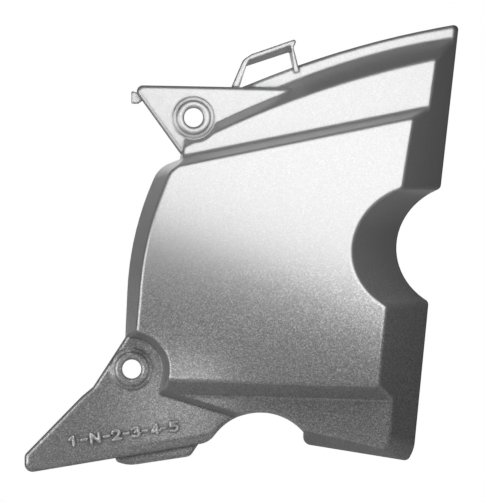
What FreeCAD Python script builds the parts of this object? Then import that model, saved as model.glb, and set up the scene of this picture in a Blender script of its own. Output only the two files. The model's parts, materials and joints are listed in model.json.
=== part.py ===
"""Front sprocket cover: one hollow moulded shell with two screw flanges. Sizes in mm."""
import math
import os

import FreeCAD
import Part
from FreeCAD import Vector

# Driving dimensions. x runs to the rear wheel, y up and z outward from the mounting plane.
# The origin is midway between the two screw holes, on the mounting plane.
REAR_X = 106.9           # top rear corner
TOP_Y = 79.2
FRONT_X = -14.2          # foot of the front wall
BOTTOM_Y = -78.6         # bottom rear corner
TIP_X = -49.8            # tip of the lower flange
TIP_Y = -83.0
WALL = 2.4

# Screw holes, each with a raised ring in front and a ribbed tube behind.
SCREW_X = 11.14          # half the distance between the screws, along x
SCREW_Y = 45.34          # half the distance between the screws, along y
HOLE_R = 3.45
RING_R = 6.3
RING_RISE = 1.6
RING_BEVEL = 1.1
PAD_R = 7.6              # low disc round the ring
PAD_RISE = 0.6
BOSS_R = 6.4             # tube behind the hole
RIB = 1.8
RIB_LIFT = 1.5           # ribs end this far above the mounting plane
HIGH_RIBS = (90, 152, 215)
LOW_RIBS = (150, 225, 262)

# Heights above the mounting plane.
FACE_LEVEL = 36.0        # highest line of the main face
PANEL_LEVEL = 17.4       # upper panel, at the foot of the main face
SOLE_LEVEL = 22.6        # bottom panel, at the foot of the main face
FLANGE_LEVEL = 9.0
RIM_LEVEL = 3.0
CROWN_R = 528.0          # bow of the main face
CROWN_Y = -31.0          # height of its highest line
PANEL_TILT = 4.0         # degrees that the upper panel falls away
SOLE_TILT = 4.0          # degrees that the bottom panel falls away

# Rounded edges.
STEP_ROUND = 1.5         # feet and tops of the steps
SIDE_ROUND = 1.4         # between the side walls and the faces
POCKET_ROUND = 1.1       # rim of the pocket beside the lower screw
FLANGE_ROUND = 1.5
LOW_EDGE_ROUND = 3.6     # bottom edge of the lower flange
NOTCH_BEVEL = 0.9        # edges along the shaft notch
TAB_BEVEL = 0.7
LOOP_BEVEL = 0.4

# Clearances: swingarm pivot at the rear, shift shaft below, screw heads in their pockets.
PIVOT_X = 60.8           # corner of the pivot notch before it is rounded
PIVOT_Y = 2.4
PIVOT_R = 23.0
PIVOT_LOW_SIDE = -33.8   # degrees, lower side of the notch seen from the front
PIVOT_HIGH_SIDE = 23.6
PIVOT_LEAN_X = -16.5     # how far the notch moves from the mounting plane to FACE_LEVEL
PIVOT_LEAN_Y = -0.8
LIP_ROUND = 2.2          # upright corners at the notch
CORNER_ROUND = 1.7       # upright corner at the top rear
SHAFT_X = 35.2
SHAFT_Y = -81.4
SHAFT_R = 20.5
SHAFT_END_X = 50.7       # upright rear end of the shaft notch
SHAFT_ROUND = 3.0        # rear corner of the shaft notch
SHAFT_LEAD = 8.0         # its front corner, in the lower flange
LOW_POCKET_R = 11.3
LOW_POCKET_LEAN = 2.3
LOW_POCKET_SIDE = 11.0   # degrees that its straight side is turned off the vertical
HIGH_POCKET_R = 8.1
HIGH_POCKET_LEAN = 1.0

# Corners of the body: x, y and corner radius on the mounting plane, then how far each corner
# moves, and its radius, at FACE_LEVEL. Corners without a radius are hidden by other features.
BODY = [
    (REAR_X + 1.2, TOP_Y + 10.0, 0.0, -15.3, 0.0, 0.0),            # beyond the top edge
    (SCREW_X + 0.9, SCREW_Y + 14.4, 0.0, 1.5, -2.5, 0.0),          # beyond the upper flange
    (SCREW_X - 5.0, SCREW_Y - 15.0, 0.0, 1.9, -0.8, 0.0),          # neck
    (FRONT_X + 12.6, SCREW_Y - 18.1, 10.0, 4.6, -1.7, 7.2),        # shoulder
    (FRONT_X + 2.3, 3.2, 112.0, 5.3, -2.1, 112.0),                 # bow of the front wall
    (FRONT_X, -SCREW_Y - 2.7, 0.0, 3.3, 1.0, 0.0),                 # under the lower flange
    (FRONT_X + 12.0, -SCREW_Y - 9.9, 0.0, 3.5, 4.1, 0.0),          # heel
    (SHAFT_X - 3.7, SHAFT_Y + 16.0, 0.0, 0.0, 4.8, 0.0),           # inside the shaft notch
    (SHAFT_X + 12.8, BOTTOM_Y + 6.6, 0.0, 0.0, 9.0, 0.0),          # inside the shaft notch
    (REAR_X - 18.4, BOTTOM_Y, 2.2, -13.5, 7.1, 2.2),               # bottom rear corner
    (REAR_X - 16.1, BOTTOM_Y + 4.5, 12.0, -14.8, 7.1, 12.0),
    (REAR_X - 8.9, PIVOT_Y - 3.4, 0.0, -15.3, -1.0, 0.0),          # inside the pivot notch
]
TOP_EDGE = [
    (SCREW_X + 0.9, SCREW_Y + 4.4, 0.0),
    (REAR_X - 39.9, TOP_Y - 7.5, 340.0),                           # bow of the top edge
    (REAR_X, TOP_Y, 0.0),
]

# Foot lines of the steps, each from its front end to its rear end, and how far the step leans.
PANEL_FOOT = [(SCREW_X + 2.4, SCREW_Y - 12.9), (REAR_X - 21.4, TOP_Y - 32.4)]
PANEL_LEAN = 3.6
SOLE_FOOT = [(FRONT_X + 27.7, BOTTOM_Y + 24.0), (REAR_X - 25.0, BOTTOM_Y + 22.0)]
SOLE_LEAN = 5.2
RIM_FOOT = [
    (SCREW_X - 21.1, SCREW_Y - 13.5, 0.0),
    (REAR_X - 42.3, TOP_Y - 12.2, 250.0),
    (REAR_X + 23.1, TOP_Y - 1.1, 0.0),
]
RIM_TOP = [
    (SCREW_X - 21.1, SCREW_Y - 18.9, 0.0),
    (REAR_X - 51.0, TOP_Y - 22.1, 390.0),
    (REAR_X + 23.1, TOP_Y - 6.8, 0.0),
]

# Flange outlines on the mounting plane: the sides that show, then corners inside the body.
HIGH_SHOWN = [
    (SCREW_X + 40.2, SCREW_Y + 10.5, 0.0),
    (SCREW_X - 22.6, SCREW_Y + 11.7, 2.2),       # tip
    (SCREW_X - 4.7, SCREW_Y - 13.2, 0.0),
]
HIGH_FLANGE = HIGH_SHOWN + [
    (SCREW_X + 16.8, SCREW_Y - 15.3, 0.0),
    (SCREW_X + 40.2, SCREW_Y - 1.3, 0.0),
]
LOW_SHOWN = [
    (-SCREW_X - 1.9, -SCREW_Y + 12.1, 0.0),
    (-SCREW_X - 13.9, -SCREW_Y - 6.4, 2.0),
    (-SCREW_X - 18.1, -SCREW_Y - 9.9, 2.0),
    (TIP_X, TIP_Y + 6.7, 2.4),
    (TIP_X, TIP_Y, 2.9),                         # the bottom side runs from here to the next
    (SHAFT_X - 16.3, TIP_Y + 11.5, 0.0),
]
LOW_FLANGE = LOW_SHOWN + [
    (SHAFT_X - 3.7, SHAFT_Y + 17.4, 0.0),
    (-SCREW_X + 21.0, -SCREW_Y - 5.7, 0.0),
    (-SCREW_X + 6.6, -SCREW_Y + 12.3, 0.0),
]

# Small tabs on the mounting plane.
LOW_TAB = [
    (SHAFT_X - 55.9, TIP_Y + 5.1, 2.0),
    (SHAFT_X - 47.2, TIP_Y + 2.8, 12.0),
    (SHAFT_X - 25.3, TIP_Y + 6.1, 3.0),
    (SHAFT_X - 22.0, TIP_Y + 11.0, 0.0),
    (SHAFT_X - 40.2, TIP_Y + 13.0, 0.0),
]
LOW_TAB_RISE = 2.6
HIGH_TAB = [
    (SCREW_X - 22.5, SCREW_Y + 9.7, 0.6),
    (SCREW_X - 22.5, SCREW_Y + 5.0, 0.6),
    (SCREW_X - 20.0, SCREW_Y + 5.0, 0.6),
    (SCREW_X - 16.1, SCREW_Y + 7.7, 0.0),
]
HIGH_TAB_RISE = 4.0

# Cable guide on the top edge, drawn from the point where its front leg meets that edge.
LOOP_X = 24.7
LOOP_RISE = 6.0
LOOP = [
    (0.0, -0.3, 0.0),
    (0.0, 1.4, 0.0),
    (4.3, 11.4, 3.5),
    (7.3, 13.4, 2.0),
    (24.1, 19.2, 0.8),
    (22.5, 15.8, 1.0),
    (24.7, 7.2, 0.0),
]
LOOP_BACK = [(2.2, -1.3, 0.0), (5.4, 9.1, 0.5), (20.9, 14.2, 0.5), (22.6, 5.7, 0.0)]
LOOP_FRONT = [(1.5, -1.3, 0.0), (6.4, 11.4, 1.0), (21.6, 16.8, 0.5), (23.0, 5.7, 0.0)]

FAR = REAR_X - TIP_X      # beyond every side of the cover
SINK = 5.0                # the hollows are drawn from this far below the mounting plane


def rounded_wire(corners, z):
    """Closed wire through the corners at one height, each corner rounded by its own radius."""
    ends = []
    count = len(corners)
    for i, (x, y, r) in enumerate(corners):
        here = Vector(x, y, z)
        if r <= 0:
            ends.append((here, here, here))
            continue
        before = Vector(corners[i - 1][0], corners[i - 1][1], z)
        after = Vector(corners[(i + 1) % count][0], corners[(i + 1) % count][1], z)
        a = (before - here).normalize()
        b = (after - here).normalize()
        half = a.getAngle(b) / 2
        reach = r / math.tan(half)
        mid = here + (a + b).normalize() * (r / math.sin(half) - r)
        ends.append((here + a * reach, mid, here + b * reach))
    edges = []
    for i, (start, mid, end) in enumerate(ends):
        if (end - start).Length > 1e-6:
            edges.append(Part.Arc(start, mid, end).toShape())
        edges.append(Part.LineSegment(end, ends[(i + 1) % count][0]).toShape())
    return Part.Wire(edges)


def moved_in(corners, gap):
    """The same corners with every side moved in by the gap."""
    count = len(corners)
    area = 0.0
    for i in range(count):
        j = (i + 1) % count
        area += corners[i][0] * corners[j][1] - corners[j][0] * corners[i][1]
    turn = 1 if area > 0 else -1
    result = []
    for i, (x, y, r) in enumerate(corners):
        j = (i + 1) % count
        p = Vector(x - corners[i - 1][0], y - corners[i - 1][1], 0).normalize()
        q = Vector(corners[j][0] - x, corners[j][1] - y, 0).normalize()
        bend = (p.x * q.y - p.y * q.x) * turn
        if abs(bend) < 1e-9:
            shift = Vector(-p.y, p.x, 0) * (turn * gap)
        else:
            shift = (q - p) * (gap / bend)
        radius = r - gap if bend > 0 else r + gap
        result.append((x + shift.x, y + shift.y, max(radius, 0.3) if r > 0 else 0.0))
    return result


def between(low, high, share):
    """Corners part of the way from the low outline to the high one, or beyond it."""
    pairs = zip(low, high)
    return [tuple(a + (b - a) * share for a, b in zip(p, q)) for p, q in pairs]


def leaning(low, z_low, high, z_high, z_from, z_to):
    """Solid whose straight leaning sides pass through both outlines."""
    span = z_high - z_low
    bottom = rounded_wire(between(low, high, (z_from - z_low) / span), z_from)
    top = rounded_wire(between(low, high, (z_to - z_low) / span), z_to)
    return Part.makeLoft([bottom, top], True, True)


def plate(corners, z_from, z_to):
    """Upright plate with the given outline."""
    return Part.Face(rounded_wire(corners, z_from)).extrude(Vector(0, 0, z_to - z_from))


def middle(edge):
    return edge.valueAt((edge.FirstParameter + edge.LastParameter) / 2)


def bend_angle(shape, edge):
    """Angle between the two faces that meet at an edge, 0 where they run on smoothly."""
    point = middle(edge)
    normals = []
    for face in shape.ancestorsOfType(edge, Part.Face):
        u, v = face.Surface.parameter(point)
        normals.append(face.normalAt(u, v))
    return normals[0].getAngle(normals[1]) if len(normals) > 1 else 0.0


def rounded(shape, radius, edges):
    """The shape with those edges rounded, by a smaller radius where a wall leaves less room."""
    for share in (1.0, 0.85, 0.7, 0.5):
        try:
            result = shape.makeFillet(radius * share, edges)
        except Part.OCCError:
            continue
        if result.isValid() and len(result.Solids) == 1:
            return result
    raise ValueError("no room for a round of %.2f" % radius)


def top_edges_along(solid, z, path):
    """Edges at one height whose middle lies within a wall's thickness of a path seen from above."""
    line = Part.makePolygon([Vector(x, y, z) for x, y, r in path])
    found = []
    for edge in solid.Edges:
        flat = edge.BoundBox.ZMin > z - 1e-4 and edge.BoundBox.ZMax < z + 1e-4
        if flat and line.distToShape(Part.Vertex(middle(edge)))[0] < WALL:
            found.append(edge)
    return found


def section(points, start, heading):
    """Face that stands across a heading; points are (distance to the left, height)."""
    left = Vector(-math.sin(heading), math.cos(heading), 0)
    corners = [start + left * offset + Vector(0, 0, z) for offset, z in points]
    return Part.Face(Part.makePolygon(corners + corners[:1]))


def step_cut(foot, level, lean, side, tilt, gap):
    """Wedge that takes a step off the body: floor at the level, wall leaning over the foot line.

    The gap moves its floor and wall into the body, for the hollow inside.
    """
    a = Vector(foot[0][0], foot[0][1], 0)
    b = Vector(foot[1][0], foot[1][1], 0)
    along = (b - a).normalize()
    rise = FACE_LEVEL - level
    lean_rate = lean / rise
    slope = math.tan(math.radians(tilt))
    floor_drop = gap / math.cos(math.radians(tilt))
    wall_shift = -gap * math.hypot(lean, rise) / rise
    foot_out = (wall_shift + floor_drop * lean_rate) / (1 - slope * lean_rate)
    top_z = 2 * FACE_LEVEL
    points = [
        (side * foot_out, level - floor_drop - slope * foot_out),
        (side * FAR, level - floor_drop - slope * FAR),
        (side * FAR, top_z),
        (side * (wall_shift - (top_z - level) * lean_rate), top_z),
    ]
    face = section(points, a - along * FAR, math.atan2(along.y, along.x))
    return face.extrude(along * (2 * FAR + (b - a).Length))


def run_out(end, bow):
    """Point where a line from the bow through its end leaves the cover."""
    x = FAR if end[0] > bow[0] else -FAR
    return (x, bow[1] + (end[1] - bow[1]) * (x - bow[0]) / (end[0] - bow[0]), 0.0)


def rim_cut(gap, z_floor):
    """Takes everything outside the bowed foot line of the rim off, from the floor up."""
    outside = [(FAR, 2 * FAR, 0.0), (-FAR, 2 * FAR, 0.0)]
    lines = []
    for front, bow, rear in (RIM_FOOT, RIM_TOP):
        line = [run_out(front, bow), bow, run_out(rear, bow)]
        lines.append(moved_in(line + outside, -gap * 1.15))
    return leaning(lines[0], RIM_LEVEL, lines[1], PANEL_LEVEL, z_floor, PANEL_LEVEL + 2)


def low_pocket_cut(gap):
    """Pocket of the lower screw: one profile turned round the screw, then drawn on to the heel."""
    centre = Vector(-SCREW_X, -SCREW_Y, 0)
    rate = LOW_POCKET_LEAN / (FACE_LEVEL - FLANGE_LEVEL)
    z_low, z_high = FLANGE_LEVEL - gap - 0.5, FACE_LEVEL + 5
    r_low = LOW_POCKET_R + gap + rate * (z_low - FLANGE_LEVEL)
    r_high = LOW_POCKET_R + gap + rate * (z_high - FLANGE_LEVEL)
    down = math.radians(-90 - LOW_POCKET_SIDE)
    narrow = [(0, z_low), (r_low, z_low), (r_high, z_high), (0, z_high)]
    wide = [(-FAR, z_low), (r_low, z_low), (r_high, z_high), (-FAR, z_high)]
    turned = section(narrow, centre, down)
    turned = turned.revolve(centre, Vector(0, 0, 1), 90 + LOW_POCKET_SIDE)
    heel_run = Vector(math.cos(down), math.sin(down), 0) * FAR
    straight = section(wide, centre, down).extrude(heel_run)
    top_wide = [(-x, z) for x, z in wide]
    front = section(top_wide, centre, math.pi).extrude(Vector(-FAR, 0, 0))
    return turned, straight, front


def high_pocket_cut(gap):
    """Round pocket beside the upper screw."""
    rate = HIGH_POCKET_LEAN / (PANEL_LEVEL - FLANGE_LEVEL)
    z_low, z_high = FLANGE_LEVEL - gap - 0.5, PANEL_LEVEL + 2
    r_low = HIGH_POCKET_R + gap + rate * (z_low - FLANGE_LEVEL)
    r_high = HIGH_POCKET_R + gap + rate * (z_high - FLANGE_LEVEL)
    return Part.makeCone(r_low, r_high, z_high - z_low, Vector(SCREW_X, SCREW_Y, z_low))


def pivot_cut(gap):
    """Notch round the swingarm pivot: a rounded corner drawn through the body at a slant."""
    tilt = math.atan2(math.hypot(PIVOT_LEAN_X, PIVOT_LEAN_Y), FACE_LEVEL)
    sides = []
    for angle in (PIVOT_LOW_SIDE, PIVOT_HIGH_SIDE):
        along = math.atan2(math.tan(math.radians(angle)), math.cos(tilt))
        sides.append((PIVOT_X + FAR * math.cos(along), PIVOT_Y + FAR * math.sin(along), 0.0))
    outline = [(PIVOT_X, PIVOT_Y, PIVOT_R)] + sides
    notch = plate(moved_in(outline, -gap), -FAR, FAR)
    across = Vector(-PIVOT_LEAN_Y, PIVOT_LEAN_X, 0)
    notch.rotate(Vector(PIVOT_X, PIVOT_Y, 0), across, math.degrees(tilt))
    return notch


def top_cut(gap):
    """Takes everything beyond the bowed top edge off."""
    front, bow, rear = TOP_EDGE
    outline = [run_out(front, bow), bow, run_out(rear, bow), (FAR, 2 * FAR, 0.0), (-FAR, 2 * FAR, 0.0)]
    return plate(moved_in(outline, -gap), -FACE_LEVEL, 2 * FACE_LEVEL)


def ahead_of(x):
    """Block that holds everything on the front side of an upright plane."""
    return Part.makeBox(2 * FAR, 2 * FAR, 4 * FACE_LEVEL, Vector(x - 2 * FAR, -2 * FAR, -FACE_LEVEL))


def shaft_cut(gap):
    """Half-round notch for the shift shaft, with an upright rear end."""
    foot = Vector(SHAFT_X, SHAFT_Y, -FACE_LEVEL)
    disc = Part.makeCylinder(SHAFT_R + gap, 4 * FACE_LEVEL, foot)
    return disc.common(ahead_of(SHAFT_END_X + gap))


def shaft_bevel_cut(level):
    """Bevels the edge of the shaft notch where it breaks through a face at one level."""
    foot = Vector(SHAFT_X, SHAFT_Y, level - NOTCH_BEVEL)
    cone = Part.makeCone(SHAFT_R, SHAFT_R + 2 * NOTCH_BEVEL, 2 * NOTCH_BEVEL, foot)
    return cone.common(ahead_of(SHAFT_END_X))


def sole_level(y):
    """Height of the bottom panel above the shaft notch."""
    foot = (SOLE_FOOT[0][1] + SOLE_FOOT[1][1]) / 2
    return SOLE_LEVEL - (foot - y) * math.tan(math.radians(SOLE_TILT))


def shaft_corner_cut():
    """Rounds the bottom edge off where it meets the upright end of the shaft notch."""
    front, rear = BODY[8], BODY[9]
    slope = (rear[1] - front[1]) / (rear[0] - front[0])
    r = SHAFT_ROUND
    turn = math.atan(slope)
    x = SHAFT_END_X + r
    y = front[1] + slope * (x - front[0]) + r / math.cos(turn)
    touch = x + r * math.sin(turn)
    corner = Vector(SHAFT_END_X - r, y - 2 * r, -1)
    block = Part.makeBox(touch - corner.x, 2 * r, FACE_LEVEL, corner)
    return block.cut(Part.makeCylinder(r, 2 * FACE_LEVEL, Vector(x, y, -FACE_LEVEL)))


def shaft_lead_cut():
    """Rounds the bottom of the lower flange off where it runs into the shaft notch."""
    a, b = [Vector(x, y, 0) for x, y, r in LOW_SHOWN[-2:]]
    along = (b - a).normalize()
    left = Vector(-along.y, along.x, 0)
    shaft = Vector(SHAFT_X, SHAFT_Y, 0) - a
    r = SHAFT_LEAD
    reach = math.sqrt((SHAFT_R + r) ** 2 - (shaft.dot(left) - r) ** 2)
    centre = a + along * (shaft.dot(along) - reach) + left * r
    on_bottom = centre - left * r
    on_notch = centre + (a + shaft - centre).normalize() * r
    corner = a + along * (shaft.dot(along) - math.sqrt(SHAFT_R ** 2 - shaft.dot(left) ** 2))
    beyond = corner * 2 - (on_bottom + on_notch) * 0.5
    wedge = plate([(p.x, p.y, 0.0) for p in (on_bottom, beyond, on_notch, centre)], -1, FACE_LEVEL)
    shoulder = FLANGE_LEVEL - NOTCH_BEVEL
    plug = Part.makeCylinder(r, FACE_LEVEL + shoulder, centre - Vector(0, 0, FACE_LEVEL))
    bevel = Part.makeCone(r, r - 2 * NOTCH_BEVEL, 2 * NOTCH_BEVEL, centre + Vector(0, 0, shoulder))
    return wedge.cut(plug).cut(bevel)


def crown(gap):
    """Bowed top of the main face."""
    axis = Vector(-FAR, CROWN_Y, FACE_LEVEL - CROWN_R)
    roll = Part.makeCylinder(CROWN_R - gap, 2 * FAR, axis, Vector(1, 0, 0))
    roll.rotate(axis, Vector(1, 0, 0), 180)
    return roll


def rear_corners(tower, y_from, y_to):
    """Upright edges of the rear wall between two heights."""
    found = []
    for edge in tower.Edges:
        at = middle(edge)
        upright = edge.BoundBox.ZLength > FACE_LEVEL - SOLE_LEVEL
        if upright and at.x > PIVOT_X and y_from < at.y < y_to and bend_angle(tower, edge) > 0.5:
            found.append(edge)
    return found


def stepped(gap):
    """Body with its steps; with a gap, the hollow that leaves a wall of that thickness."""
    back = [(x, y, r) for x, y, r, dx, dy, s in BODY]
    face = [(x + dx, y + dy, s) for x, y, r, dx, dy, s in BODY]
    tower = leaning(moved_in(back, gap), 0, moved_in(face, gap), FACE_LEVEL,
                    -SINK if gap else 0, FACE_LEVEL + 1)
    tower = tower.cut(pivot_cut(gap)).cut(top_cut(gap))
    if not gap:
        tower = rounded(tower, LIP_ROUND, rear_corners(tower, BOTTOM_Y / 2, TOP_Y / 2))
        tower = rounded(tower, CORNER_ROUND, rear_corners(tower, TOP_Y / 2, TOP_Y))
    tower = tower.common(crown(gap))
    tower = tower.cut(step_cut(PANEL_FOOT, PANEL_LEVEL, PANEL_LEAN, 1, PANEL_TILT, gap))
    tower = tower.cut(step_cut(SOLE_FOOT, SOLE_LEVEL, SOLE_LEAN, -1, SOLE_TILT, gap))
    return tower.cut(rim_cut(gap, -2 * SINK if gap else RIM_LEVEL))


def side_walls(shape):
    """Faces that stand on the mounting plane."""
    found = []
    for face in shape.Faces:
        if face.BoundBox.ZMax > 0.1 and any(e.BoundBox.ZMax < 1e-4 for e in face.Edges):
            found.append(face)
    return found


def round_body(solid):
    """Rounds the steps first, then the side edges that run over them."""
    on_walls = set()
    for face in side_walls(solid):
        on_walls.update(e.hashCode() for e in face.Edges)
    steps = []
    for edge in solid.Edges:
        if edge.hashCode() not in on_walls and edge.BoundBox.ZMax > 0.1:
            if bend_angle(solid, edge) > 0.1:
                steps.append(edge)
    solid = rounded(solid, STEP_ROUND, steps)
    seen = {}
    for face in side_walls(solid):
        for edge in face.Edges:
            seen.setdefault(edge.hashCode(), []).append(edge)
    tops = [e[0] for e in seen.values() if len(e) == 1 and e[0].BoundBox.ZMax > 0.1]
    neck_x, shoulder_y = BODY[2][0], BODY[3][1]
    sides = []
    for edge in tops:
        at = middle(edge)
        front = at.x < neck_x and -SCREW_Y < at.y < shoulder_y
        if at.x > SHAFT_END_X or front:
            sides.append(edge)
    return rounded(solid, SIDE_ROUND, sides)


def pocket_rim(solid):
    """Edges where the pocket beside the lower screw breaks through the main face."""
    centre = Vector(-SCREW_X, -SCREW_Y, 0)
    heel = BODY[6][1]
    found = []
    for edge in solid.Edges:
        at = middle(edge)
        reach = (Vector(at.x, at.y, 0) - centre).Length
        near = abs(reach - LOW_POCKET_R - LOW_POCKET_LEAN) < WALL and at.x > centre.x
        if near and at.y > heel and edge.BoundBox.ZMin > FACE_LEVEL - 2 * STEP_ROUND:
            if bend_angle(solid, edge) > 0.5:
                found.append(edge)
    return found


def high_flange(gap):
    """Flange of the upper screw; with a gap, its hollow."""
    return plate(moved_in(HIGH_FLANGE, gap), -SINK if gap else 0, FLANGE_LEVEL - gap)


def low_flange(gap):
    """Flange of the lower screw; with a gap, its hollow."""
    return plate(moved_in(LOW_FLANGE, gap), -SINK if gap else 0, FLANGE_LEVEL - gap)


def low_edge_cut():
    """Rounds the bottom edge of the lower flange off, along its whole straight side."""
    a, b = [Vector(x, y, 0) for x, y, r in LOW_SHOWN[-2:]]
    along = (b - a).normalize()
    r = LOW_EDGE_ROUND
    z = FLANGE_LEVEL - r
    start = a - along * FAR
    run = along * (2 * FAR)
    corner = [(-r, z), (r, z), (r, FLANGE_LEVEL + r), (-r, FLANGE_LEVEL + r)]
    block = section(corner, start, math.atan2(along.y, along.x)).extrude(run)
    left = Vector(-along.y, along.x, 0)
    return block.cut(Part.makeCylinder(r, run.Length, start + left * r + Vector(0, 0, z), along))


def rounded_plate(solid, z, path, radius):
    """Plate with its top edges rounded along the sides that show."""
    return rounded(solid, radius, top_edges_along(solid, z, path))


def bevelled_plate(solid, z, path, width):
    """Plate with its top edges bevelled along the sides that show."""
    return solid.makeChamfer(width, top_edges_along(solid, z, path))


def cable_loop():
    """Cable guide: a frame on the top edge whose inner sides lean, so its front stays slim."""
    under, bow = TOP_EDGE[0], TOP_EDGE[1]
    y = under[1] + (bow[1] - under[1]) * (LOOP_X - under[0]) / (bow[0] - under[0])

    def placed(corners):
        return [(LOOP_X + dx, y + dy, r) for dx, dy, r in corners]

    outline = placed(LOOP)
    frame = plate(outline, 0, LOOP_RISE)
    frame = bevelled_plate(frame, LOOP_RISE, outline[1:], LOOP_BEVEL)
    hole = leaning(placed(LOOP_BACK), 0, placed(LOOP_FRONT), LOOP_RISE, -1, LOOP_RISE + 1)
    return frame.cut(hole)


def screw_boss(x, y):
    """Tube, low disc and bevelled ring of one screw hole, turned as one profile."""
    top = FLANGE_LEVEL + RING_RISE
    pad = FLANGE_LEVEL + PAD_RISE
    seat = FLANGE_LEVEL - WALL / 2
    soft = RING_BEVEL * (1 - math.sqrt(0.5))
    profile = [
        (HOLE_R, 0),
        (HOLE_R, top - RING_BEVEL),
        (HOLE_R + soft, top - soft),
        (HOLE_R + RING_BEVEL, top),
        (RING_R - RING_BEVEL, top),
        (RING_R - soft, top - soft),
        (RING_R, top - RING_BEVEL),
        (RING_R, pad),
        (PAD_R - PAD_RISE / 2, pad),
        (PAD_R, FLANGE_LEVEL),
        (PAD_R, seat),
        (BOSS_R, seat),
        (BOSS_R, 0),
    ]
    points = [Vector(x + r, y, z) for r, z in profile]
    face = Part.Face(Part.makePolygon(points + points[:1]))
    return face.revolve(Vector(x, y, 0), Vector(0, 0, 1), 360)


def rib(x, y, angle, inside):
    """Rib from a screw tube outward at an angle, kept inside the flange."""
    height = FLANGE_LEVEL - WALL / 2 - RIB_LIFT
    slab = Part.makeBox(FAR, RIB, height, Vector(x, y - RIB / 2, RIB_LIFT))
    slab.rotate(Vector(x, y, 0), Vector(0, 0, 1), angle)
    slab = slab.cut(Part.makeCylinder((HOLE_R + BOSS_R) / 2, 2 * FACE_LEVEL, Vector(x, y, -1)))
    return min(slab.common(inside).Solids, key=lambda p: p.distToShape(Part.Vertex(x, y, 0))[0])


def main():
    outer = round_body(stepped(0))
    for cutter in low_pocket_cut(0):
        outer = outer.cut(cutter)
    outer = rounded(outer, POCKET_ROUND, pocket_rim(outer))
    outer = outer.cut(high_pocket_cut(0))
    high = rounded_plate(high_flange(0), FLANGE_LEVEL, HIGH_SHOWN, FLANGE_ROUND)
    low = rounded_plate(low_flange(0), FLANGE_LEVEL, LOW_SHOWN, FLANGE_ROUND)
    for cutter in (low_edge_cut(), shaft_cut(0), shaft_bevel_cut(FLANGE_LEVEL), shaft_lead_cut()):
        low = low.cut(cutter)
    low_tab = bevelled_plate(plate(LOW_TAB, 0, LOW_TAB_RISE), LOW_TAB_RISE, LOW_TAB[:4], TAB_BEVEL)
    high_tab = plate(HIGH_TAB, 0, HIGH_TAB_RISE)
    for piece in (high, low, cable_loop(), low_tab, high_tab):
        outer = outer.fuse(piece)
    outer = outer.cut(shaft_cut(0)).cut(shaft_corner_cut())
    outer = outer.cut(shaft_bevel_cut(sole_level(SHAFT_Y + SHAFT_R)))

    inner = stepped(WALL)
    for cutter in (*low_pocket_cut(WALL), high_pocket_cut(WALL)):
        inner = inner.cut(cutter)
    inner = inner.fuse(high_flange(WALL)).fuse(low_flange(WALL))
    shell = outer.cut(inner.cut(shaft_cut(WALL)))

    for side, hollow, angles in ((1, high_flange, HIGH_RIBS), (-1, low_flange, LOW_RIBS)):
        x, y = side * SCREW_X, side * SCREW_Y
        above = Part.makeBox(2 * FAR, 2 * FAR, FACE_LEVEL, Vector(-FAR, -FAR, 0))
        inside = hollow(WALL / 2).common(above)
        shell = shell.cut(Part.makeCylinder(HOLE_R + RIB / 4, FACE_LEVEL, Vector(x, y, -1)))
        for angle in angles:
            shell = shell.fuse(rib(x, y, angle, inside))
        shell = shell.fuse(screw_boss(x, y))

    shell = shell.removeSplitter()
    shell.rotate(Vector(0, 0, 0), Vector(1, 0, 0), 90)
    shell.exportStep("parts/sprocket_cover.step")


if __name__ == "__main__":
    os.makedirs("parts", exist_ok=True)
    main()
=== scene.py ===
"""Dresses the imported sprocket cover: silver flake paint, raised shift marks and a small studio."""
import json
import math

import bmesh
import bpy
from bpy.props import FloatProperty, FloatVectorProperty, PointerProperty
from mathutils import Matrix, Quaternion, Vector

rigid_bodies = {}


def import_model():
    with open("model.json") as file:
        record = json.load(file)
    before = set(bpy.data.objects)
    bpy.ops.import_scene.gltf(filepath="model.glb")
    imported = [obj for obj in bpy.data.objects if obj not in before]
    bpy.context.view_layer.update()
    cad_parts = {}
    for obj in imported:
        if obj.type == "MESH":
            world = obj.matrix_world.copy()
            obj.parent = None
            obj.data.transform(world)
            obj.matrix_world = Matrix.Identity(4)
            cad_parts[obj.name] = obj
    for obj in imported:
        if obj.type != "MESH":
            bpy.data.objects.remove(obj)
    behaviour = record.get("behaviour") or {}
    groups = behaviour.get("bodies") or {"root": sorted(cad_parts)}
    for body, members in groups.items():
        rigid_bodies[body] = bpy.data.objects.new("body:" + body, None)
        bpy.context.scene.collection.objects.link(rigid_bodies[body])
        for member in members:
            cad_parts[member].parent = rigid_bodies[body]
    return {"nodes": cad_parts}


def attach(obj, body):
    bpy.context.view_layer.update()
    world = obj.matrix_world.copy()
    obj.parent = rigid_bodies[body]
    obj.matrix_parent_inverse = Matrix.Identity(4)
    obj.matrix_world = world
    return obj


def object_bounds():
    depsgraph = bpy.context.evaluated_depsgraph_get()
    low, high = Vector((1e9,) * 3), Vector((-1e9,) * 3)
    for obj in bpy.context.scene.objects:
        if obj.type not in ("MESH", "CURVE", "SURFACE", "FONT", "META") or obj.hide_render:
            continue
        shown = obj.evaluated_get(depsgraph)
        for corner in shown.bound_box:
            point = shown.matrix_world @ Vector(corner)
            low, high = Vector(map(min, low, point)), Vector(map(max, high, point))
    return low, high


for start_object in list(bpy.data.objects):
    bpy.data.objects.remove(start_object)

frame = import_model()
CAD_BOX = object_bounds()
COVER = frame["nodes"]["sprocket_cover"]

bl_info = {
    "name": "Sprocket cover",
    "version": (1, 0, 0),
    "blender": (4, 5, 0),
    "location": "3D View > Sidebar > Cover",
    "description": "Paint, shift marks and studio for a moulded front sprocket cover",
    "category": "Object",
}

MM = 0.001
WHITE = (1.0, 1.0, 1.0, 1.0)

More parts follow.
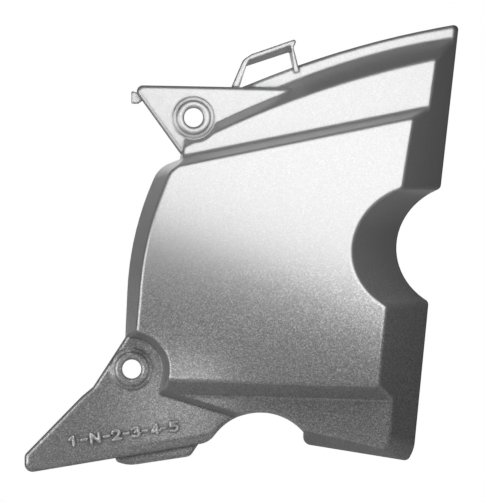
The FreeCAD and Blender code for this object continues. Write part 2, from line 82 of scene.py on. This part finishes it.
# The paint, beyond the settings that the panel shows.
COAT_IOR = 1.5
COAT_LEVEL = 0.3                    # thinner than a full clear coat
COAT_TINT = (0.6, 0.6, 0.6, 1.0)
SPARK_POWER = 2.0                   # few bright flakes among many dull ones
SPARK_MEAN = 0.333                  # taken off the sparks, so that the mean colour stays
SPARKLE_AND_SHADE_BAND = (-30 * MM, -4 * MM)     # heights between which the flake sparkle and the painted shade in corners thin out, going up
SPARKLE_AND_SHADE_AMOUNT = (1.12, 0.2)
PAINTED_SHADE_REACH = 1.6 * MM               # how far from an inner corner the painted shade reaches
PAINTED_SHADE_OPEN = (0.45, 0.95)            # how open a spot is, from a deep corner to a free face
PAINTED_SHADE_KEEP = (0.45, 1.0)            # how much of the paint colour shows under the painted shade there
MOTTLE_SCALE = 420.0
MOTTLE_DETAIL = 4.0
MOTTLE_SPAN = (0.3, 0.7)
MOTTLE_GLOSS = 0.02                 # change of roughness either way
GRAIN_STRENGTH = 0.04
GRAIN_DEPTH = 0.2 * MM
SHADER_SAMPLES = 8

MARK_GRAIN = 0.13 * MM              # finest detail of the fused figures
PAPER = (0.8, 0.8, 0.8, 1.0)
PAPER_FADE = (0.05, 0.60)           # distances between which the floor turns into the room
PAPER_SHARE = (0.45, 1.0)           # how much of the white room the floor has there; the smaller share near the cover is a painted shade round it

# Strokes of each sign: points across and up, in tenths of the height between stroke middles.
SIGN_STROKES = {
    "1": ((-3.4, 7.2), (0.8, 10.0), (0.8, 0.0)),
    "N": ((-4.6, 0.0), (-4.6, 10.0), (4.6, 0.0), (4.6, 10.0)),
    "2": ((-4.2, 7.4), (-2.8, 9.5), (0.0, 10.0), (3.0, 9.2), (3.8, 6.8), (1.5, 4.0),
          (-4.2, 0.0), (4.6, 0.0)),
    "3": ((-4.0, 8.8), (-1.2, 10.0), (2.4, 9.5), (3.6, 7.4), (1.8, 5.5), (-0.8, 5.2),
          (2.4, 4.8), (4.2, 2.6), (2.4, 0.4), (-1.2, 0.0), (-4.4, 1.4)),
    "4": ((1.8, 0.0), (1.8, 10.0), (-4.2, 2.8), (4.4, 2.8)),
    "5": ((4.2, 10.0), (-3.0, 10.0), (-3.6, 5.6), (0.8, 6.2), (4.0, 4.4), (4.0, 1.8),
          (1.2, 0.0), (-4.0, 0.8)),
    "-": ((-2.8, 5.0), (2.8, 5.0)),
}
# The shift pattern: each sign with the distance of its middle from the first, in millimetres.
SHIFT_ROW = (
    ("1", 0.0), ("-", 4.1), ("N", 8.2), ("-", 12.4), ("2", 15.9), ("-", 19.5),
    ("3", 23.0), ("-", 26.4), ("4", 30.2), ("-", 33.2), ("5", 36.9),
)
# Soft lamps: name, place, point that it faces, width and height in metres, roll in degrees,
# power in watts.
STUDIO_LAMPS = (
    ("key_box", (0.062, -0.13, 0.065), (0.062, 0.0, 0.065), (0.21, 0.14), -27.0, 0.177),
    ("low_box", (0.005, -0.09, -0.06), (0.005, 0.0, -0.06), (0.03, 0.03), 0.0, 0.0027),
    ("left_box", (-0.25, -0.25, -0.02), (-0.01, 0.0, -0.05), (0.24, 0.24), 0.0, 0.38),
    ("edge_box", (0.30, -0.30, 0.16), (0.06, 0.0, 0.03), (0.06, 0.22), 0.0, 0.045),
    ("back_box", (0.03, 0.45, 0.05), (0.03, 0.0, 0.0), (0.30, 0.30), 0.0, 0.50),
)


class CoverPaint(bpy.types.PropertyGroup):
    """Satin silver paint with visible metal flakes."""
    colour: FloatVectorProperty(
        name="Colour", description="Colour of the silver paint",
        subtype="COLOR", size=3, min=0.0, max=1.0, default=(0.57, 0.57, 0.575))
    metallic: FloatProperty(
        name="Metallic", description="Share of metal flakes in the paint",
        subtype="FACTOR", min=0.0, max=1.0, default=0.68)
    roughness: FloatProperty(
        name="Roughness", description="Middle roughness of the satin finish",
        subtype="FACTOR", min=0.0, max=1.0, default=0.33)
    flake_size: FloatProperty(
        name="Flake size", description="Mean width of one metal flake",
        unit="LENGTH", min=0.0001, default=0.00024)
    flow: FloatProperty(
        name="Flow", description="Width over which the wet paint softens an edge",
        unit="LENGTH", min=0.0, default=0.0014)
    flake_tilt: FloatProperty(
        name="Flake tilt", description="How far the flakes lean out of the surface",
        min=0.0, max=1.0, default=0.02)


class CoverMarks(bpy.types.PropertyGroup):
    """Raised shift pattern on the lower flange."""
    height: FloatProperty(
        name="Height", description="Height of a figure",
        unit="LENGTH", min=0.001, default=0.0045)
    stroke: FloatProperty(
        name="Stroke", description="Width of the round stroke of a figure",
        unit="LENGTH", min=0.0001, default=0.00130)
    relief: FloatProperty(
        name="Relief", description="How far the figures stand out of the flange",
        unit="LENGTH", min=0.0001, default=0.00100)
    # Painted highlight: the figures get a brighter colour than the cover paint, standing in for
    # light catching their raised strokes.
    colour: FloatVectorProperty(
        name="Colour", description="Colour of the raised figures, rubbed a little brighter",
        subtype="COLOR", size=3, min=0.0, max=1.0, default=(0.82, 0.82, 0.825))
    slope: FloatProperty(
        name="Slope", description="Angle at which the row of figures rises to the rear",
        unit="ROTATION", default=math.radians(8.3))
    start: FloatVectorProperty(
        name="Start", description="Middle of the first figure on the flange",
        subtype="TRANSLATION", unit="LENGTH", size=3, default=(-0.0324, -0.0090, -0.0714))


class CoverStage(bpy.types.PropertyGroup):
    """Camera, lights and backdrop."""
    target: FloatVectorProperty(
        name="Target", description="Point in the middle of the picture",
        subtype="TRANSLATION", unit="LENGTH", size=3, default=(0.02862, -0.016, -0.00279))
    frame_height: FloatProperty(
        name="Frame height", description="Height of the picture at the target",
        unit="LENGTH", min=0.01, default=0.18072)
    lens: FloatProperty(
        name="Lens", description="Focal length of the camera in millimetres",
        min=1.0, default=1000.0)
    light: FloatProperty(
        name="Light", description="Factor on the power of every lamp",
        subtype="FACTOR", min=0.0, max=4.0, default=1.0)
    room: FloatProperty(
        name="Room", description="Light that the room itself throws on the cover",
        min=0.0, max=1.0, default=0.030)
    gloss: FloatProperty(
        name="Gloss", description="Share of the white room that shows in the paint",
        subtype="FACTOR", min=0.0, max=1.0, default=0.03)
    drop: FloatProperty(
        name="Drop", description="Height of the cover above the floor",
        unit="LENGTH", min=0.0, default=0.06)
    floor_radius: FloatProperty(
        name="Floor radius", description="Radius of the paper floor",
        unit="LENGTH", min=0.1, default=1.2)


def bare_tree(owner):
    """Emptied node tree of a material or a world."""
    owner.use_nodes = True
    owner.node_tree.nodes.clear()
    return owner.node_tree


def node_at(tree, kind, x, y):
    """New shader node at a place in the tree."""
    node = tree.nodes.new(kind)
    node.location = (x, y)
    return node


def feed(tree, socket, value):
    """Links an output to a socket, or sets a plain value on it."""
    if isinstance(value, bpy.types.NodeSocket):
        tree.links.new(value, socket)
    else:
        socket.default_value = value


def math_node(tree, operation, x, y, *values):
    """Result of a Math node."""
    node = node_at(tree, "ShaderNodeMath", x, y)
    node.operation = operation
    for socket, value in zip(node.inputs, values):
        feed(tree, socket, value)
    return node.outputs["Value"]


def vector_node(tree, operation, x, y, *values):
    """Vector Math node."""
    node = node_at(tree, "ShaderNodeVectorMath", x, y)
    node.operation = operation
    for socket, value in zip(node.inputs, values):
        feed(tree, socket, value)
    return node


def range_node(tree, x, y, value, source, target):
    """Map Range node that takes a value from one span to another."""
    node = node_at(tree, "ShaderNodeMapRange", x, y)
    for name, number in zip(("From Min", "From Max", "To Min", "To Max"), (*source, *target)):
        node.inputs[name].default_value = number
    feed(tree, node.inputs["Value"], value)
    return node


def multiply_node(tree, x, y, factor, first, second):
    """Colour that is the product of two others."""
    node = node_at(tree, "ShaderNodeMix", x, y)
    node.data_type = "RGBA"
    node.blend_type = "MULTIPLY"
    for name, value in (("Factor", factor), ("A", first), ("B", second)):
        feed(tree, node.inputs[name], value)
    return node.outputs["Result"]


def flake_colour(tree, place, flakes, colour):
    """Paint with sparkling flakes and with painted shade in its corners, both stronger low on the
    cover.
    """
    split = node_at(tree, "ShaderNodeSeparateColor", -650, 300)
    feed(tree, split.inputs["Color"], flakes)
    spark = math_node(tree, "POWER", -550, 450, split.outputs["Red"], SPARK_POWER)
    height = node_at(tree, "ShaderNodeSeparateXYZ", -900, 700)
    feed(tree, height.inputs["Vector"], place)
    sparkle_and_shade_weight = range_node(tree, -650, 700, height.outputs["Z"], SPARKLE_AND_SHADE_BAND, SPARKLE_AND_SHADE_AMOUNT)
    sparkle_and_shade_weight = sparkle_and_shade_weight.outputs["Result"]
    offset = math_node(tree, "SUBTRACT", -400, 550, spark, SPARK_MEAN)
    tint = math_node(tree, "MULTIPLY_ADD", -250, 450, offset, sparkle_and_shade_weight, 1.0)
    shade = multiply_node(tree, -100, 350, 1.0, (*colour, 1.0), tint)
    # Painted shade: ambient occlusion darkens the paint colour in corners, grooves and steps.
    hollow = node_at(tree, "ShaderNodeAmbientOcclusion", 50, 500)
    hollow.samples = SHADER_SAMPLES
    hollow.inputs["Distance"].default_value = PAINTED_SHADE_REACH
    painted_shade = range_node(tree, 250, 600, hollow.outputs["AO"], PAINTED_SHADE_OPEN, PAINTED_SHADE_KEEP)
    return multiply_node(tree, 400, 350, sparkle_and_shade_weight, shade, painted_shade.outputs["Result"])


def flake_normal(tree, flakes, mottle, tilt, edge):
    """Normal with leaning flakes over a faint moulded grain and softened edges."""
    lean = vector_node(tree, "SUBTRACT", -400, 100, flakes, (0.5, 0.5, 0.5))
    amount = vector_node(tree, "SCALE", -200, 100, lean.outputs["Vector"])
    amount.inputs["Scale"].default_value = tilt
    grain = node_at(tree, "ShaderNodeBump", -200, -300)
    grain.inputs["Strength"].default_value = GRAIN_STRENGTH
    grain.inputs["Distance"].default_value = GRAIN_DEPTH
    feed(tree, grain.inputs["Height"], mottle)
    if edge:
        flow = node_at(tree, "ShaderNodeBevel", -450, -450)
        flow.samples = SHADER_SAMPLES
        flow.inputs["Radius"].default_value = edge
        feed(tree, grain.inputs["Normal"], flow.outputs["Normal"])
    tilted = vector_node(tree, "ADD", 50, 0, amount.outputs["Vector"], grain.outputs["Normal"])
    return vector_node(tree, "NORMALIZE", 250, 0, tilted.outputs["Vector"]).outputs["Vector"]


def silver_paint(name, paint, colour, edge):
    """Metallic paint: every flake has its own tilt and brightness, over a faint moulded grain."""
    material = bpy.data.materials.new(name)
    tree = bare_tree(material)
    output = node_at(tree, "ShaderNodeOutputMaterial", 900, 0)
    shader = node_at(tree, "ShaderNodeBsdfPrincipled", 600, 0)
    feed(tree, output.inputs["Surface"], shader.outputs["BSDF"])
    place = node_at(tree, "ShaderNodeTexCoord", -1200, 0).outputs["Object"]
    flakes = node_at(tree, "ShaderNodeTexVoronoi", -900, 200)
    flakes.inputs["Scale"].default_value = 1.0 / paint.flake_size
    mottle = node_at(tree, "ShaderNodeTexNoise", -900, -200)
    mottle.inputs["Scale"].default_value = MOTTLE_SCALE
    mottle.inputs["Detail"].default_value = MOTTLE_DETAIL
    for texture in (flakes, mottle):
        feed(tree, texture.inputs["Vector"], place)
    flakes, mottle = flakes.outputs["Color"], mottle.outputs["Fac"]
    gloss = range_node(tree, -400, -100, mottle, MOTTLE_SPAN,
                       (paint.roughness - MOTTLE_GLOSS, paint.roughness + MOTTLE_GLOSS))
    for socket, value in (
            ("Metallic", paint.metallic), ("IOR", COAT_IOR),
            ("Specular IOR Level", COAT_LEVEL), ("Specular Tint", COAT_TINT),
            ("Base Color", flake_colour(tree, place, flakes, colour)),
            ("Roughness", gloss.outputs["Result"]),
            ("Normal", flake_normal(tree, flakes, mottle, paint.flake_tilt, edge))):
        feed(tree, shader.inputs[socket], value)
    return material


def seen_share(tree, gloss):
    """Light Path factor: whole for camera and transmission rays, a share for glossy rays."""
    path = node_at(tree, "ShaderNodeLightPath", -800, 300).outputs
    metal = math_node(tree, "MULTIPLY", -600, 200, path["Is Glossy Ray"], gloss)
    clear = math_node(tree, "MAXIMUM", -600, 400,
                      path["Is Camera Ray"], path["Is Transmission Ray"])
    return math_node(tree, "MAXIMUM", -400, 300, clear, metal)


def floor_paper(middle, gloss):
    """Pale paper that keeps the real shadow under the cover, with a painted shade where its glow
    thins near the cover, and fades into the white room.
    """
    material = bpy.data.materials.new("floor_paper")
    tree = bare_tree(material)
    output = node_at(tree, "ShaderNodeOutputMaterial", 600, 0)
    mix = node_at(tree, "ShaderNodeMixShader", 400, 0)
    paper = node_at(tree, "ShaderNodeBsdfDiffuse", 100, -100)
    paper.inputs["Color"].default_value = PAPER
    glow = node_at(tree, "ShaderNodeEmission", 100, -250)
    place = node_at(tree, "ShaderNodeTexCoord", -800, -300).outputs["Object"]
    away = vector_node(tree, "DISTANCE", -600, -300, place, middle).outputs["Value"]
    # Painted shade: the glow thins towards the cover, so the paper darkens round it beyond its real
    # shadow.
    fade = range_node(tree, -400, -300, away, PAPER_FADE, PAPER_SHARE)
    fade.interpolation_type = "SMOOTHSTEP"
    share = math_node(tree, "MULTIPLY", 100, 200, seen_share(tree, gloss), fade.outputs["Result"])
    feed(tree, mix.inputs["Fac"], share)
    feed(tree, mix.inputs[1], paper.outputs["BSDF"])
    feed(tree, mix.inputs[2], glow.outputs["Emission"])
    feed(tree, output.inputs["Surface"], mix.outputs["Shader"])
    return material


def object_from(bm, name):
    """Object at the origin that takes over a finished bmesh."""
    mesh = bpy.data.meshes.new(name)
    bm.to_mesh(mesh)
    bm.free()
    obj = bpy.data.objects.new(name, mesh)
    bpy.context.scene.collection.objects.link(obj)
    return obj


def round_stroke(bm, start, end, radius):
    """One straight stroke with round ends."""
    along = end - start
    turn = along.to_track_quat("Z", "Y").to_matrix().to_4x4()
    bmesh.ops.create_cone(
        bm, cap_ends=True, segments=16, radius1=radius, radius2=radius, depth=along.length,
        matrix=Matrix.Translation((start + end) / 2) @ turn)
    for point in (start, end):
        bmesh.ops.create_icosphere(
            bm, subdivisions=2, radius=radius, matrix=Matrix.Translation(point))


def fuse(piece, grain):
    """Melts the overlapping strokes of a piece into one cast skin."""
    melt = piece.modifiers.new("melt", "REMESH")
    melt.mode = "VOXEL"
    melt.voxel_size = grain
    bpy.context.view_layer.update()
    skin = bpy.data.meshes.new_from_object(piece.evaluated_get(
        bpy.context.evaluated_depsgraph_get()))
    rough = piece.data
    piece.modifiers.clear()
    piece.data = skin
    bpy.data.meshes.remove(rough)
    skin.name = piece.name


class COVER_OT_paint(bpy.types.Operator):
    """Gives the moulded cover its silver flake paint"""
    bl_idname = "cover.paint"
    bl_label = "Paint the cover"

    def execute(self, context):
        paint = context.scene.cover_paint
        COVER.data.materials.clear()
        COVER.data.materials.append(
            silver_paint("silver_flake_paint", paint, paint.colour, paint.flow))
        return {"FINISHED"}


class COVER_OT_marks(bpy.types.Operator):
    """Raises the shift pattern on the lower flange"""
    bl_idname = "cover.marks"
    bl_label = "Raise the shift marks"

    def execute(self, context):
        marks = context.scene.cover_marks
        radius = marks.stroke / 2
        unit = (marks.height - marks.stroke) / 10
        bm = bmesh.new()
        for sign, along in SHIFT_ROW:
            points = [Vector((along * MM + x * unit, (y - 5.0) * unit, marks.relief - radius))
                      for x, y in SIGN_STROKES[sign]]
            for start, end in zip(points, points[1:]):
                round_stroke(bm, start, end, radius)
        piece = object_from(bm, "shift_marks")
        fuse(piece, MARK_GRAIN)
        turn = Matrix.Rotation(math.pi / 2, 4, "X") @ Matrix.Rotation(marks.slope, 4, "Z")
        piece.data.transform(Matrix.Translation(marks.start) @ turn)
        piece.data.shade_smooth()
        # The brighter mark colour is a painted highlight on the figures.
        piece.data.materials.append(
            silver_paint("silver_mark_paint", context.scene.cover_paint, marks.colour, 0.0))
        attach(piece, "root")
        return {"FINISHED"}


class COVER_OT_stage(bpy.types.Operator):
    """Sets up the paper floor, the soft lights, the white room and the camera"""
    bl_idname = "cover.stage"
    bl_label = "Set the stage"

    def execute(self, context):
        stage = context.scene.cover_stage
        self.floor(stage)
        self.lights(context, stage)
        self.camera(context, stage)
        context.scene.view_settings.view_transform = "Standard"
        return {"FINISHED"}

    def floor(self, stage):
        """Round sheet of paper a little below the cover."""
        low, high = CAD_BOX
        middle = Vector(((low.x + high.x) / 2, (low.y + high.y) / 2, low.z - stage.drop))
        bm = bmesh.new()
        bmesh.ops.create_circle(bm, cap_ends=True, segments=96, radius=stage.floor_radius,
                                matrix=Matrix.Translation(middle))
        sheet = object_from(bm, "paper_floor")
        sheet.data.materials.append(floor_paper(middle, stage.gloss))

    def lights(self, context, stage):
        """Soft lamps of the studio in a dim room."""
        for name, place, aim, size, roll, power in STUDIO_LAMPS:
            lamp = bpy.data.lights.new(name, "AREA")
            lamp.shape = "RECTANGLE"
            lamp.size, lamp.size_y = size
            lamp.energy = power * stage.light
            box = bpy.data.objects.new(name, lamp)
            box.location = place
            box.visible_camera = False
            face = (Vector(aim) - Vector(place)).to_track_quat("-Z", "Y")
            box.rotation_euler = (face @ Quaternion((0, 0, 1), math.radians(roll))).to_euler()
            context.scene.collection.objects.link(box)
        room = bpy.data.worlds.new("studio_room")
        tree = bare_tree(room)
        output = node_at(tree, "ShaderNodeOutputWorld", 400, 0)
        mix = node_at(tree, "ShaderNodeMixShader", 200, 0)
        for slot, strength in ((1, stage.room), (2, 1.0)):
            wall = node_at(tree, "ShaderNodeBackground", -100, -150 * slot)
            wall.inputs["Color"].default_value = WHITE
            wall.inputs["Strength"].default_value = strength
            feed(tree, mix.inputs[slot], wall.outputs["Background"])
        feed(tree, mix.inputs["Fac"], seen_share(tree, stage.gloss))
        feed(tree, output.inputs["Surface"], mix.outputs["Shader"])
        context.scene.world = room

    def camera(self, context, stage):
        """Long lens straight at the face of the cover."""
        eye = bpy.data.cameras.new("front_camera")
        eye.sensor_width = 36.0
        eye.lens = stage.lens
        distance = stage.frame_height * stage.lens / eye.sensor_width
        eye.clip_start, eye.clip_end = 0.1, 4 * distance
        stand = bpy.data.objects.new("front_camera", eye)
        stand.location = Vector(stage.target) - Vector((0.0, distance, 0.0))
        stand.rotation_euler = (math.pi / 2, 0.0, 0.0)
        context.scene.collection.objects.link(stand)
        context.scene.camera = stand


class COVER_PT_panel(bpy.types.Panel):
    """Settings and steps of the sprocket cover"""
    bl_idname = "COVER_PT_panel"
    bl_label = "Sprocket cover"
    bl_space_type = "VIEW_3D"
    bl_region_type = "UI"
    bl_category = "Cover"

    def draw(self, context):
        scene = context.scene
        for operator, settings in (
                ("cover.paint", scene.cover_paint),
                ("cover.marks", scene.cover_marks),
                ("cover.stage", scene.cover_stage)):
            box = self.layout.box()
            for name in settings.__annotations__:
                box.prop(settings, name)
            box.operator(operator)


CLASSES = (CoverPaint, CoverMarks, CoverStage,
           COVER_OT_paint, COVER_OT_marks, COVER_OT_stage, COVER_PT_panel)


def register():
    for cls in CLASSES:
        bpy.utils.register_class(cls)
    bpy.types.Scene.cover_paint = PointerProperty(type=CoverPaint)
    bpy.types.Scene.cover_marks = PointerProperty(type=CoverMarks)
    bpy.types.Scene.cover_stage = PointerProperty(type=CoverStage)


def unregister():
    del bpy.types.Scene.cover_stage
    del bpy.types.Scene.cover_marks
    del bpy.types.Scene.cover_paint
    for cls in reversed(CLASSES):
        bpy.utils.unregister_class(cls)


def main():
    register()
    bpy.ops.cover.paint()
    bpy.ops.cover.marks()
    bpy.ops.cover.stage()


if __name__ == "__main__":
    main()
